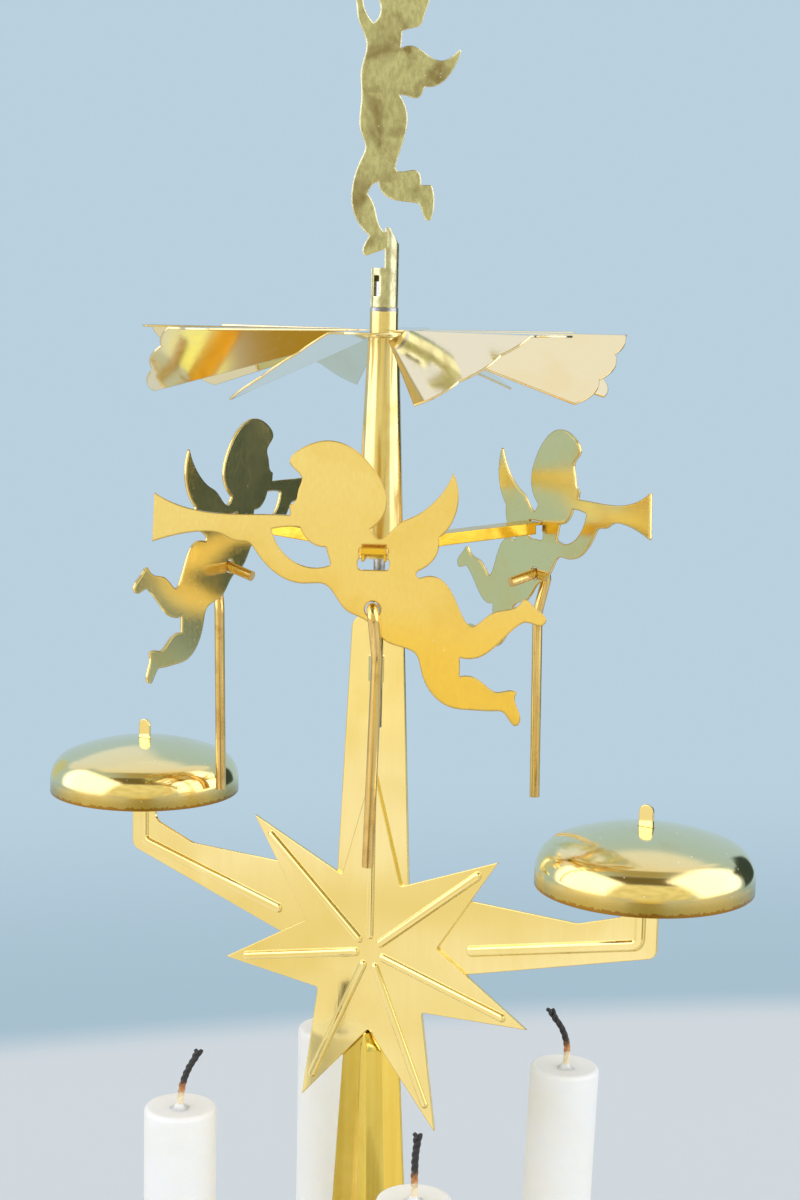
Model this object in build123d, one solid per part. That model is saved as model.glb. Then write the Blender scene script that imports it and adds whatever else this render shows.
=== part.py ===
# Angel chime carousel: candle warmth turns a bladed fan, and the three hanging
# angels carry striker wires round past two bells.
# Millimetres, +Z up, origin at the centre of the base on the table.
# The star faces -Y and the two bell arms lie along X.
import os
from math import asin, atan2, cos, degrees, hypot, pi, radians, sin, tan

from build123d import *

os.makedirs("parts", exist_ok=True)

# Sheet and wire stock
sheet = 0.5
fan_sheet = 0.35
base_sheet = 0.6
cup_sheet = 0.4
bell_sheet = 0.6
tube_wall = 0.4
wire_diameter = 1.86
needle_diameter = 2.0
bead_height = 0.55

# Clearances
loose_gap = 0.3
hang_gap = 0.15
pin_gap = 0.05
slot_gap = 0.2
overrun = 2.0

# Base and candle cups
base_diameter = 116.0
base_height = 6.0
base_foot_width = 3.4
base_wall_run = 3.2
base_edge_round = 1.6
candle_diameter = 12.7
candle_edge_distance = 23.8
first_candle = 47.5
candle_tops = (107.4, 105.0, 105.0, 100.0)
candle_leans = (1.6, 0.0, 0.0, 0.0)
candle_dish = 0.5
candle_edge_round = 0.8
cup_depth = 14.0
cup_play = 0.25
cup_lip = 0.45
rivet_head_diameter = 5.0
rivet_head_height = 0.8
rivet_shank_diameter = 2.4
wick_diameter = 1.3

# Stem under the star
stem_length = 135.0
stem_foot_width = 25.8
stem_taper = 0.13
ridge_foot_width = 14.4
ridge_taper = 0.092
ridge_depth = 2.2
ridge_top_drop = 27.8
ridge_end_length = 3.2
ridge_end_width = 1.2
stem_tab_width = 4.0
stem_tab_reach = 4.0

# Cross plate: upper post and the two bell arms
post_length = 47.4
post_top_width = 10.6
post_taper = 0.099
post_corner_round = 2.5
arm_rise = 3.4
arm_depth = 18.9
arm_end_depth = 3.11
bell_circle_radius = 53.4
upright_width = 5.6
upright_round = 1.8
arm_sweep_run = 9.0
arm_sweep_rise = 3.0
arm_bead_width = 1.8
arm_bead_start = 20.9
arm_bead_start_drop = 8.89
arm_bead_drop = 1.45
arm_bead_end_drop = 5.8
arm_bead_offset = 0.22
arm_bead_bend = 1.6
bell_tab_width = 2.5
bell_tab_reach = 3.7
needle_slot_length = 19.5
needle_slot_play = 0.45
strap_drops = (18.2, 12.4, 5.6, 2.6)
front_strap_drop = 6.8
front_strap_length = 4.5

# Star
star_rays = 7
star_drop = 9.5
star_tip_radius = 33.4
star_valley_radius = 14.4
star_rib_width = 1.5
star_rib_start = 3.0
star_rib_end = 28.4
star_valley_round = 0.5

# Bells
bell_rise = 8.6
bell_rim_diameter = 35.8
bell_height = 9.9
bell_side_height = 2.3
bell_shoulder_round = 5.2

# Turning part: needle, tube, bearing and fan
needle_reach = 51.5
needle_point_length = 2.2
needle_point_width = 0.2
tube_length = 37.6
tube_head_drop = 3.1
tube_foot_diameter = 8.4
tube_head_diameter = 5.4
tube_lip_width = 1.4
tube_lip_height = 0.6
tube_lip_round = 0.2
neck_diameter = 4.9
neck_length = 3.4
fan_flange_height = 1.0
fan_flange_width = 0.85
bearing_rim_height = 0.6
bearing_plug_length = 3.4
bearing_stub_length = 4.4
bearing_seat_diameter = 2.6
fan_diameter = 83.0
fan_blades = 8
fan_fold_angle = 32.0
fan_flat_angle = 14.5
fan_first_fold = -22.4
fan_hub_diameter = 13.0
fan_cut_width = 0.4
scallop_depth = 1.0
flap_scallops = 3

# Spider that carries the angels
hub_diameter = 15.0
arm_width = 4.0
arm_channel_height = 2.1
arm_knee_radius = 12.0
arm_knee_drop = 1.3
arm_tab_length = 1.4
arm_tab_rise = 3.7
arm_tab_reach = 2.6
arm_tab_bend = 1.1
first_angel = -57.3
angel_count = 3

# Hanging angels and striker wires
angel_length = 62.5
angel_slot_drop = 3.4
angel_slot_wide = 5.0
angel_slot_narrow = 4.5
angel_slot_neck = 1.6
wire_hole_drop = 9.65
wire_hole_diameter = 2.5
strike_gap = 1.02
strike_height = 3.3
wire_leg_offset = 1.35
wire_tail = 5.2
wire_tail_drop = 1.4
wire_nose = 3.0
wire_nose_rise = 0.8
wire_return = 7.4
wire_bow = 0.9
wire_bend = 1.5
wire_soft_bend = 9.0

# Top figure and its rolled sleeve
sleeve_diameter = 4.7
sleeve_height = 6.7
sleeve_seam = 0.5
sleeve_seam_angle = 20.0
sleeve_window_width = 1.3
sleeve_window_height = 3.5
sleeve_window_angle = 52.0
neck_strip_rise = 6.7
neck_strip_drop = 2.8

# Shares of a neighbouring size
ridge_flat_share = 0.29
bead_round_share = 0.94
rivet_round_share = 0.7
rivet_tail_share = 0.8
rivet_chamfer_share = 0.4
slot_round_share = 0.3
window_drop_share = 0.45
strip_top_share = 0.33

# Places worked out from the sizes above, from the table up
candle_circle_radius = base_diameter / 2 - candle_edge_distance
cup_floor_top = base_height + cup_sheet
candle_foot = cup_floor_top + rivet_head_height + loose_gap
stem_top = base_height + stem_length
ridge_top = stem_top - ridge_top_drop
star_centre = stem_top - star_drop
arm_top = stem_top + arm_rise
arm_foot = arm_top - arm_depth
post_top = arm_top + post_length
needle_slot_foot = post_top - needle_slot_length
bell_rim_height = arm_top + bell_rise
bell_underside = bell_rim_height + bell_height - bell_sheet
bell_shoulder = bell_underside - hang_gap
needle_top = post_top + needle_reach
tube_head = needle_top - tube_head_drop
tube_foot = tube_head - tube_length
fan_height = tube_head + fan_flange_height
neck_top = fan_height + neck_length
sleeve_foot = neck_top + bearing_rim_height
hub_foot = tube_foot + tube_lip_height + 2 * pin_gap
arm_tab_height = hub_foot + arm_tab_rise
strike_radius = bell_circle_radius - bell_rim_diameter / 2 - strike_gap
angel_circle_radius = strike_radius - wire_diameter / 2 - wire_leg_offset
arm_tab_start = angel_circle_radius - arm_tab_length
angel_slot_top = arm_tab_height + sheet + hang_gap
wire_hole_height = angel_slot_top - wire_hole_drop

# Layers of the stand, front to back: star, cross plate, stem
plate_front = -sheet / 2
plate_back = sheet / 2
stem_back = plate_back + sheet

# Outlines, as shares of the angel's length, from the wire hole
angel_outline_shares = [
    [(-0.555, 0.284), (-0.417, 0.238), (-0.304, 0.235), (-0.212, 0.235)],
    [(-0.212, 0.235), (-0.215, 0.260)],
    [(-0.215, 0.260), (-0.198, 0.273), (-0.192, 0.300), (-0.184, 0.329), (-0.214, 0.366),
     (-0.175, 0.410), (-0.080, 0.418), (0.009, 0.337), (0.030, 0.285), (-0.010, 0.203)],
    [(-0.010, 0.203), (0.013, 0.180), (0.070, 0.224), (0.099, 0.238), (0.148, 0.274), (0.196, 0.350)],
    [(0.196, 0.350), (0.205, 0.329), (0.190, 0.214), (0.164, 0.186)],
    [(0.164, 0.186), (0.160, 0.144), (0.115, 0.101)],
    [(0.115, 0.101), (0.109, 0.091), (0.116, 0.082)],
    [(0.116, 0.082), (0.202, 0.043), (0.255, -0.038), (0.307, -0.001), (0.354, 0.010), (0.383, 0.035)],
    [(0.383, 0.035), (0.390, 0.033), (0.407, 0.017), (0.437, -0.009), (0.441, -0.018)],
    [(0.441, -0.018), (0.428, -0.033), (0.386, -0.025), (0.372, -0.032), (0.285, -0.111), (0.224, -0.119)],
    [(0.224, -0.119), (0.225, -0.168)],
    [(0.225, -0.168), (0.292, -0.190), (0.318, -0.206), (0.359, -0.201), (0.371, -0.206)],
    [(0.371, -0.206), (0.375, -0.249), (0.382, -0.275), (0.378, -0.288), (0.366, -0.292)],
    [(0.366, -0.292), (0.357, -0.283), (0.334, -0.256), (0.314, -0.255), (0.263, -0.254),
     (0.204, -0.248), (0.128, -0.162), (0.111, -0.112), (0.038, -0.083), (-0.017, -0.029),
     (-0.068, -0.003), (-0.123, 0.061), (-0.175, 0.062), (-0.298, 0.142), (-0.316, 0.163),
     (-0.353, 0.168), (-0.379, 0.181), (-0.429, 0.189), (-0.560, 0.160)],
    [(-0.560, 0.160), (-0.555, 0.284)],
]
elbow_gap_shares = [
    [(-0.259, 0.199), (-0.222, 0.205), (-0.187, 0.205)],
    [(-0.187, 0.205), (-0.175, 0.182), (-0.155, 0.164), (-0.121, 0.156)],
    [(-0.121, 0.156), (-0.108, 0.111)],
    [(-0.108, 0.111), (-0.165, 0.104), (-0.216, 0.127), (-0.246, 0.163), (-0.259, 0.199)],
]
# The top figure is measured from the middle of the sleeve's top edge
figure_outline_shares = [
    [(-0.381, 0.997), (-0.287, 0.892), (-0.197, 0.829), (-0.114, 0.774)],
    [(-0.114, 0.774), (-0.102, 0.777), (-0.083, 0.797), (-0.062, 0.818), (-0.069, 0.865),
     (-0.013, 0.884), (0.073, 0.843), (0.109, 0.760), (0.108, 0.712), (0.092, 0.660),
     (0.085, 0.641), (0.052, 0.629), (0.035, 0.622)],
    [(0.035, 0.622), (0.032, 0.579)],
    [(0.032, 0.579), (0.080, 0.579), (0.094, 0.570), (0.190, 0.580)],
    [(0.190, 0.580), (0.193, 0.571)],
    [(0.193, 0.571), (0.170, 0.520), (0.138, 0.487), (0.098, 0.480)],
    [(0.098, 0.480), (0.066, 0.450), (0.045, 0.456), (0.031, 0.457)],
    [(0.031, 0.457), (0.052, 0.371), (0.030, 0.291), (0.024, 0.265)],
    [(0.024, 0.265), (0.031, 0.258), (0.047, 0.257), (0.094, 0.222)],
    [(0.094, 0.222), (0.123, 0.222)],
    [(0.123, 0.222), (0.130, 0.187), (0.123, 0.131)],
    [(0.123, 0.131), (0.115, 0.127)],
    [(0.115, 0.127), (0.104, 0.136), (0.095, 0.160), (0.087, 0.173)],
    [(0.087, 0.173), (0.049, 0.177), (0.010, 0.185), (-0.022, 0.228)],
    [(-0.022, 0.228), (-0.031, 0.224), (-0.049, 0.194)],
    [(-0.049, 0.194), (-0.033, 0.170), (-0.018, 0.117), (-0.004, 0.096)],
    [(-0.004, 0.096), (0.008, 0.100)],
    [(0.008, 0.100), (0.008, 0.053)],
    [(0.008, 0.053), (-0.052, 0.031)],
    [(-0.052, 0.031), (-0.060, 0.039), (-0.060, 0.052), (-0.043, 0.085)],
    [(-0.043, 0.085), (-0.093, 0.201), (-0.066, 0.295), (-0.058, 0.316), (-0.070, 0.355),
     (-0.071, 0.453), (-0.073, 0.521), (-0.060, 0.589), (-0.084, 0.656), (-0.092, 0.708),
     (-0.115, 0.740), (-0.143, 0.759)],
    [(-0.143, 0.759), (-0.214, 0.801), (-0.311, 0.854), (-0.446, 0.892)],
    [(-0.446, 0.892), (-0.381, 0.997)],
]
arm_gap_shares = [
    [(-0.071, 0.708), (-0.067, 0.683), (-0.042, 0.643)],
    [(-0.042, 0.643), (-0.024, 0.681), (-0.034, 0.709), (-0.058, 0.728), (-0.086, 0.742)],
    [(-0.086, 0.742), (-0.071, 0.708)],
]

# Wicks: rise and bend of the charred end, as shares of the wick's length
wick_lengths = (10.6, 9.0, 10.4, 11.4)
wick_bend_shares = (-0.31, 0.16, 0.31, 0.03)
wick_straight_shares = (0.5, 0.45, 0.2, 0.4)
wick_bearing = 33.6


# Sheet work: a flat outline stands in the XZ plane and faces -Y
def sheet_solid(face, back, thickness):
    return extrude(Plane.XZ.offset(-back) * face, thickness)


def share_face(shares, size):
    edges = []
    for run in shares:
        points = [(across * size, up * size) for across, up in run]
        edges.append(Line(*points) if len(points) == 2 else Spline(*points))
    return make_face(edges)


def polar(radius, angle, rise=0):
    return Pos(radius * cos(radians(angle)), radius * sin(radians(angle)), rise)


def bead_face(path, width):
    ends = [Pos(path @ share) * Circle(width / 2) for share in (0, 1)]
    return trace(path, width) + ends[0] + ends[1]


def pressed_bead(body, path, width, front):
    raised = sheet_solid(bead_face(path, width), front, bead_height)
    rim = raised.faces().sort_by(Axis.Y)[0].edges()
    raised = fillet(rim, bead_height * bead_round_share)
    hollow = sheet_solid(bead_face(path, width / 2), front + sheet, sheet)
    return body + raised - hollow


def stem_half(height):
    return (stem_foot_width - stem_taper * (height - base_height)) / 2


def post_half(height):
    return (post_top_width + post_taper * (post_top - height)) / 2


def base_plate():
    outer = base_diameter / 2
    knee = outer - base_foot_width
    shoulder = knee - base_wall_run
    slant = hypot(base_wall_run, base_height - base_sheet)
    shift = base_sheet * slant / (base_height - base_sheet) - base_sheet * base_wall_run / (
        base_height - base_sheet)
    profile = Polyline(
        (0, base_height), (shoulder, base_height), (knee, base_sheet), (outer, base_sheet), (outer, 0),
        (knee - shift, 0), (shoulder - shift, base_height - base_sheet), (0, base_height - base_sheet),
        (0, base_height))
    face = make_face(profile)
    bends = [v for v in face.vertices() if shoulder - 2 * shift < v.X < outer - base_sheet]
    face = fillet([v for v in bends if v.X in (shoulder, knee)], base_edge_round)
    plate = revolve(Plane.XZ * face, Axis.Z)
    depth = 2 * (base_height + overrun)
    for place in candle_places():
        plate -= place * Cylinder(rivet_shank_diameter / 2 + pin_gap, depth)
    for place in stem_tab_places():
        cut = Box(stem_tab_width + 2 * slot_gap, sheet + 2 * slot_gap, depth)
        plate -= place * Pos(0, (plate_back + stem_back) / 2) * cut
    return plate


def stem_tab_places():
    across = (stem_half(base_height) + ridge_foot_width / 2) / 2
    return [Pos(side * across, 0, 0) for side in (-1, 1)]


def candle_angle(index):
    return first_candle + 360 * index / len(candle_tops)


def candle_places():
    return [polar(candle_circle_radius, candle_angle(index)) for index in range(len(candle_tops))]


def candle_cup():
    floor = candle_diameter / 2 + cup_play
    play = max(abs(tan(radians(lean))) for lean in candle_leans) * cup_depth
    mouth = floor + play
    top = base_height + cup_depth
    profile = Polyline(
        (0, base_height), (floor + cup_sheet, base_height), (mouth + cup_sheet, top), (mouth, top),
        (floor, cup_floor_top), (0, cup_floor_top), (0, base_height))
    cup = revolve(Plane.XZ * make_face(profile), Axis.Z)
    lip = Pos(0, 0, top) * Torus(mouth + cup_lip, cup_lip)
    bore = Cylinder(rivet_shank_diameter / 2 + pin_gap, 2 * (cup_sheet + overrun))
    return cup + lip - Pos(0, 0, base_height) * bore


def cup_rivet():
    head = rivet_head_diameter / 2
    under = base_height - base_sheet
    dome = Pos(0, 0, cup_floor_top) * Cylinder(
        head, rivet_head_height, align=(Align.CENTER, Align.CENTER, Align.MIN))
    dome = fillet(dome.edges().sort_by(Axis.Z)[-1], rivet_head_height * rivet_round_share)
    shank = Pos(0, 0, under) * Cylinder(
        rivet_shank_diameter / 2, cup_floor_top - under, align=(Align.CENTER, Align.CENTER, Align.MIN))
    tail = Pos(0, 0, under - rivet_head_height) * Cylinder(
        head * rivet_tail_share, rivet_head_height, align=(Align.CENTER, Align.CENTER, Align.MIN))
    tail = chamfer(tail.edges().sort_by(Axis.Z)[0], rivet_head_height * rivet_chamfer_share)
    return dome + shank + tail


def leaning(index):
    angle = candle_angle(index)
    foot = polar(candle_circle_radius, angle, candle_foot)
    return foot * Rot(0, 0, angle) * Rot(0, candle_leans[index], 0)


def candle(index):
    length = candle_tops[index] - candle_foot
    wax = Cylinder(candle_diameter / 2, length, align=(Align.CENTER, Align.CENTER, Align.MIN))
    wax = fillet(wax.edges().sort_by(Axis.Z)[-1], candle_edge_round)
    reach = candle_diameter / 2 - candle_edge_round
    radius = (reach ** 2 + candle_dish ** 2) / (2 * candle_dish)
    dish = Pos(0, 0, length + radius - candle_dish) * Sphere(radius)
    return leaning(index) * (wax - dish)


def wick(index):
    foot = candle_tops[index] - candle_foot - candle_dish
    length = wick_lengths[index]
    bend = wick_bend_shares[index] * length
    line = Spline((0, 0, 0), (0, 0, length * wick_straight_shares[index]), (bend, 0, length))
    section = Plane((0, 0, 0), z_dir=(0, 0, 1)) * Circle(wick_diameter / 2)
    cord = sweep(section, path=line)
    return leaning(index) * Pos(0, 0, foot) * Rot(0, 0, wick_bearing - candle_angle(index)) * cord


def ridge_section(height, half, depth, inset):
    flat = half * ridge_flat_share
    points = [(-half, stem_back + inset), (-half, plate_back), (-flat, plate_back - depth),
              (flat, plate_back - depth), (half, plate_back), (half, stem_back + inset)]
    return Plane.XY.offset(height) * make_face(Polyline(*points, close=True))


def ridge_solid(shrink, inset, foot):
    low_half = (ridge_foot_width - ridge_taper * (foot - base_height)) / 2 - shrink
    high_half = (ridge_foot_width - ridge_taper * (ridge_top - base_height)) / 2 - shrink
    end = ridge_top + ridge_end_length - shrink
    low = ridge_section(foot, low_half, ridge_depth - shrink, inset)
    high = ridge_section(ridge_top, high_half, ridge_depth - shrink, inset)
    tip = ridge_section(end, ridge_end_width / 2, ridge_depth - 2 * shrink, inset)
    return loft([low, high], ruled=True) + loft([high, tip], ruled=True)


def stem():
    half_foot, half_top = stem_half(base_height), stem_half(stem_top)
    face = make_face(Polyline((-half_foot, base_height), (half_foot, base_height),
                              (half_top, stem_top), (-half_top, stem_top), close=True))
    plate = sheet_solid(face, stem_back, sheet)
    plate = plate + ridge_solid(0, 0, base_height) - ridge_solid(sheet, sheet, base_height - sheet)
    under = base_height - base_sheet
    drop = Box(stem_tab_width, sheet, base_sheet + sheet, align=(Align.CENTER, Align.CENTER, Align.MAX))
    foot = Box(stem_tab_width, stem_tab_reach, sheet, align=(Align.CENTER, Align.MIN, Align.MAX))
    for place in stem_tab_places():
        plate += place * Pos(0, (plate_back + stem_back) / 2, base_height) * drop
        plate += place * Pos(0, plate_back, under) * foot
    return plate


def strap(low, high, side):
    inner = needle_diameter / 2 + pin_gap
    outer = inner + sheet
    half = (Circle(outer) - Circle(inner)) & Pos(0, side * outer) * Rectangle(2 * outer, 2 * outer)
    return Pos(0, 0, low) * extrude(half, high - low)


def arm_bead(side):
    bend = bell_circle_radius - arm_bead_offset
    level = arm_top - arm_bead_drop
    points = [(side * arm_bead_start, arm_top - arm_bead_start_drop), (side * bend, level),
              (side * bend, bell_shoulder - arm_bead_end_drop)]
    return FilletPolyline(*points, radius=arm_bead_bend)


def cross_plate():
    top, neck = post_half(post_top), post_half(arm_top)
    outer = bell_circle_radius + upright_width / 2
    inner = outer - upright_width
    foot = arm_top - arm_end_depth
    sweep_end = arm_top + arm_sweep_rise
    half = [(0, post_top), (top, post_top), (neck, arm_top), (inner - arm_sweep_run, arm_top),
            (inner, sweep_end), (inner, bell_shoulder), (outer, bell_shoulder), (outer, foot), (0, arm_foot)]
    mirror_half = [(-x, z) for x, z in reversed(half[1:-1])]
    face = make_face(Polyline(*half, *mirror_half, close=True))
    rounds = ((top, post_top, post_corner_round), (outer, foot, upright_round),
              (inner, sweep_end, upright_round), (inner - arm_sweep_run, arm_top, arm_sweep_run / 2))
    for across, up, radius in rounds:
        corners = [v for v in face.vertices()
                   if abs(abs(v.X) - across) < pin_gap and abs(v.Y - up) < pin_gap]
        face = fillet(corners, radius)
    for side in (-1, 1):
        face += Pos(side * bell_circle_radius, bell_shoulder) * bell_tab_face()
    face -= Pos(0, post_top) * Rectangle(needle_diameter + needle_slot_play, 2 * needle_slot_length)
    plate = sheet_solid(face, plate_back, sheet)
    front_top = post_top - front_strap_drop
    plate += strap(front_top - front_strap_length, front_top, -1)
    for low, high in zip(strap_drops[::2], strap_drops[1::2]):
        plate += strap(post_top - low, post_top - high, 1)
    for side in (-1, 1):
        plate = pressed_bead(plate, arm_bead(side), arm_bead_width, plate_front)
    return plate


def bell_tab_face():
    reach = bell_height + bell_rim_height + bell_tab_reach - bell_shoulder
    round_end = bell_tab_width / 2
    box = Pos(0, (reach - round_end) / 2) * Rectangle(bell_tab_width, reach - round_end)
    return box + Pos(0, reach - round_end) * Circle(round_end)


def star():
    points = []
    for step in range(2 * star_rays):
        angle = radians(90 + 180 * step / star_rays)
        radius = star_valley_radius if step % 2 else star_tip_radius
        points.append((radius * cos(angle), star_centre + radius * sin(angle)))
    face = make_face(Polyline(*points, close=True))
    valleys = [v for v in face.vertices() if hypot(v.X, v.Y - star_centre) < star_valley_radius + sheet]
    body = sheet_solid(fillet(valleys, star_valley_round), plate_front, sheet)
    for ray in range(star_rays):
        angle = radians(90 + 360 * ray / star_rays)
        ends = [(r * cos(angle), star_centre + r * sin(angle)) for r in (star_rib_start, star_rib_end)]
        body = pressed_bead(body, Line(*ends), star_rib_width, plate_front - sheet)
    return body


def bell_half_face(inset, foot):
    # Straight side, tight shoulder and a slow crown, each tangent to the next
    centre_across = bell_rim_diameter / 2 - bell_shoulder_round
    centre_up = bell_rim_height + bell_side_height
    crown_rise = bell_height - bell_side_height - bell_shoulder_round
    drop = (centre_across ** 2 - crown_rise ** 2) / (2 * crown_rise)
    crown = drop + crown_rise + bell_shoulder_round - inset
    shoulder = bell_shoulder_round - inset
    lean = atan2(centre_across, drop)

    def on_crown(angle):
        return crown * sin(angle), centre_up - drop + crown * cos(angle)

    def on_shoulder(angle):
        return centre_across + shoulder * sin(angle), centre_up + shoulder * cos(angle)

    meet = on_crown(lean)
    side = on_shoulder(pi / 2)
    return make_face([
        Line((0, foot), (side[0], foot)), Line((side[0], foot), side),
        ThreePointArc(side, on_shoulder((pi / 2 + lean) / 2), meet),
        ThreePointArc(meet, on_crown(lean / 2), on_crown(0)), Line(on_crown(0), (0, foot))])


def bell(side):
    shell = bell_half_face(0, bell_rim_height) - bell_half_face(bell_sheet, bell_rim_height - overrun)
    shell = revolve(Plane.XZ * shell, Axis.Z)
    slot = Box(bell_tab_width + 2 * slot_gap, sheet + 2 * slot_gap, 2 * (bell_sheet + overrun))
    shell -= Pos(0, 0, bell_underside) * slot
    return Pos(side * bell_circle_radius, 0, 0) * shell


def needle():
    foot = needle_slot_foot + pin_gap
    shoulder = needle_top - needle_point_length
    low = Align.CENTER, Align.CENTER, Align.MIN
    shaft = Pos(0, 0, foot) * Cylinder(needle_diameter / 2, shoulder - foot, align=low)
    point = Pos(0, 0, shoulder) * Cone(
        needle_diameter / 2, needle_point_width / 2, needle_point_length, align=low)
    return shaft + point


def rotor_tube():
    foot, head, neck = tube_foot_diameter / 2, tube_head_diameter / 2, neck_diameter / 2
    lip = foot + tube_lip_width
    flange = head + fan_flange_width
    lip_top = tube_foot + tube_lip_height
    outside = [(foot - tube_wall, tube_foot), (lip, tube_foot), (lip, lip_top), (foot, lip_top),
               (head, tube_head), (flange, tube_head), (flange, fan_height), (neck, fan_height),
               (neck, neck_top), (neck - tube_wall, neck_top)]
    inside = [(neck - tube_wall, tube_head), (head - tube_wall, tube_head - tube_wall)]
    profile = make_face(Polyline(*outside, *inside, close=True))
    rims = [v for v in profile.vertices() if abs(v.X - lip) < pin_gap or abs(v.X - flange) < pin_gap]
    return revolve(Plane.XZ * fillet(rims, tube_lip_round), Axis.Z)


def bearing_cup():
    rim = neck_diameter / 2
    plug = rim - tube_wall - pin_gap
    stub = sleeve_diameter / 2 - tube_wall - pin_gap
    rim_top = neck_top + bearing_rim_height
    low = Align.CENTER, Align.CENTER, Align.MIN
    cup = Pos(0, 0, neck_top - bearing_plug_length) * Cylinder(plug, bearing_plug_length, align=low)
    cup += Pos(0, 0, neck_top) * Cylinder(rim, bearing_rim_height, align=low)
    cup += Pos(0, 0, rim_top) * Cylinder(stub, bearing_stub_length, align=low)
    seat_foot = neck_top - bearing_plug_length
    seat_depth = needle_top + pin_gap - seat_foot
    seat = Pos(0, 0, seat_foot) * Cone(
        bearing_seat_diameter / 2, needle_point_width / 2 + pin_gap, seat_depth, align=low)
    return cup - seat


def fan_sector_face():
    # One blade before folding, with its fold line along +X
    radius = fan_diameter / 2
    pitch = 360 / fan_blades
    lobes = flap_scallops + 1
    gap = degrees(asin(fan_cut_width / radius))
    hub = fan_hub_diameter / 2 - sheet
    start = fan_flat_angle - pitch + gap / 2
    end = fan_flat_angle - gap / 2
    edges = []
    points = []
    for index in range(lobes + 1):
        angle = radians(start + (end - start) * index / lobes)
        valley = radius - scallop_depth
        points.append((valley * cos(angle), valley * sin(angle)))
    for index in range(lobes):
        angle = radians(start + (end - start) * (index + 0.5) / lobes)
        middle = (radius * cos(angle), radius * sin(angle))
        edges.append(ThreePointArc(points[index], middle, points[index + 1]))
    root_start = (hub * cos(radians(start)), hub * sin(radians(start)))
    root_end = (hub * cos(radians(end)), hub * sin(radians(end)))
    edges.append(Line(points[-1], root_end))
    edges.append(Line(root_end, root_start))
    edges.append(Line(root_start, points[0]))
    return make_face(edges)


def fan_wheel():
    # Each flap turns down about its fold line at the top of the sheet; its root is cut free of the hub
    sector = fan_sector_face()
    size = fan_diameter
    above = Pos(size / 2, size / 2) * Rectangle(size, size)
    below = Pos(size / 2, -size / 2) * Rectangle(size, size)
    flat = extrude(sector & above, -fan_sheet)
    flap = extrude((sector & below) - Circle(fan_hub_diameter / 2 + fan_cut_width), -fan_sheet)
    flap = Rot(fan_fold_angle, 0, 0) * flap
    wheel = Cylinder(fan_hub_diameter / 2, fan_sheet, align=(Align.CENTER, Align.CENTER, Align.MAX))
    for index in range(fan_blades):
        turn = Rot(0, 0, fan_first_fold + 360 * index / fan_blades)
        wheel += turn * flat
        wheel += turn * flap
    wheel -= Cylinder(neck_diameter / 2 + pin_gap, 2 * (fan_sheet + overrun))
    return Pos(0, 0, fan_height + fan_sheet) * wheel


def carrier_arm():
    # One arm along -Y, drawn from the side and then hollowed from below
    root = hub_diameter / 2 - sheet
    tab = arm_tab_start
    end = angel_circle_radius + sheet / 2 + arm_tab_reach
    low, high = hub_foot, arm_tab_height
    top = high + sheet
    knee_top = top - arm_knee_drop
    side = Polyline(
        (-root, low), (-root, low + sheet), (-arm_knee_radius, knee_top), (-tab, top), (-(end - sheet), top),
        (-(end - sheet), high + arm_tab_bend), (-end, high + arm_tab_bend), (-end, high), (-tab, high),
        (-tab, top - arm_channel_height), (-arm_knee_radius, knee_top - arm_channel_height), close=True)
    bar = extrude(Plane.YZ.offset(-arm_width / 2) * make_face(side), arm_width)
    hollow = Polyline(
        (-root, low - overrun), (-root, low), (-arm_knee_radius, knee_top - sheet), (-tab, high),
        (-tab - overrun, high), (-tab - overrun, low - overrun), close=True)
    width = arm_width - 2 * sheet
    return bar - extrude(Plane.YZ.offset(-width / 2) * make_face(hollow), width)


def angel_turn(index):
    return Rot(0, 0, first_angel + 90 + 360 * index / angel_count)


def angel_carrier():
    low = Align.CENTER, Align.CENTER, Align.MIN
    body = Pos(0, 0, hub_foot) * Cylinder(hub_diameter / 2, sheet, align=low)
    arm = carrier_arm()
    for index in range(angel_count):
        body += angel_turn(index) * arm
    bore = tube_foot_diameter / 2 + pin_gap
    return body - Pos(0, 0, hub_foot) * Cylinder(bore, 2 * (sheet + overrun))


def angel_slot():
    top = Pos(0, -angel_slot_neck / 2) * Rectangle(angel_slot_narrow, angel_slot_neck)
    foot = angel_slot_drop - angel_slot_neck
    wide = RectangleRounded(angel_slot_wide, foot, foot * slot_round_share)
    return top + Pos(0, -angel_slot_neck - foot / 2) * wide


def angel_face():
    face = share_face(angel_outline_shares, angel_length) - share_face(elbow_gap_shares, angel_length)
    face -= Circle(wire_hole_diameter / 2)
    return face - Pos(0, wire_hole_drop) * angel_slot()


def angel(index):
    face = Pos(0, wire_hole_height) * angel_face()
    return angel_turn(index) * sheet_solid(face, -(angel_circle_radius - sheet / 2), sheet)


def striker(index):
    plate = angel_circle_radius
    hole = wire_hole_height
    points = [(0, -(plate - wire_tail), hole - wire_tail_drop),
              (0, -(plate + wire_nose), hole + wire_nose_rise),
              (wire_bow, -(plate + wire_leg_offset), hole - wire_return),
              (0, -(plate + wire_leg_offset), bell_rim_height + strike_height)]
    path = FilletPolyline(*points, radius=[wire_bend, wire_soft_bend])
    section = Plane(path @ 0, z_dir=path % 0) * Circle(wire_diameter / 2)
    return angel_turn(index) * sweep(section, path=path)


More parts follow.
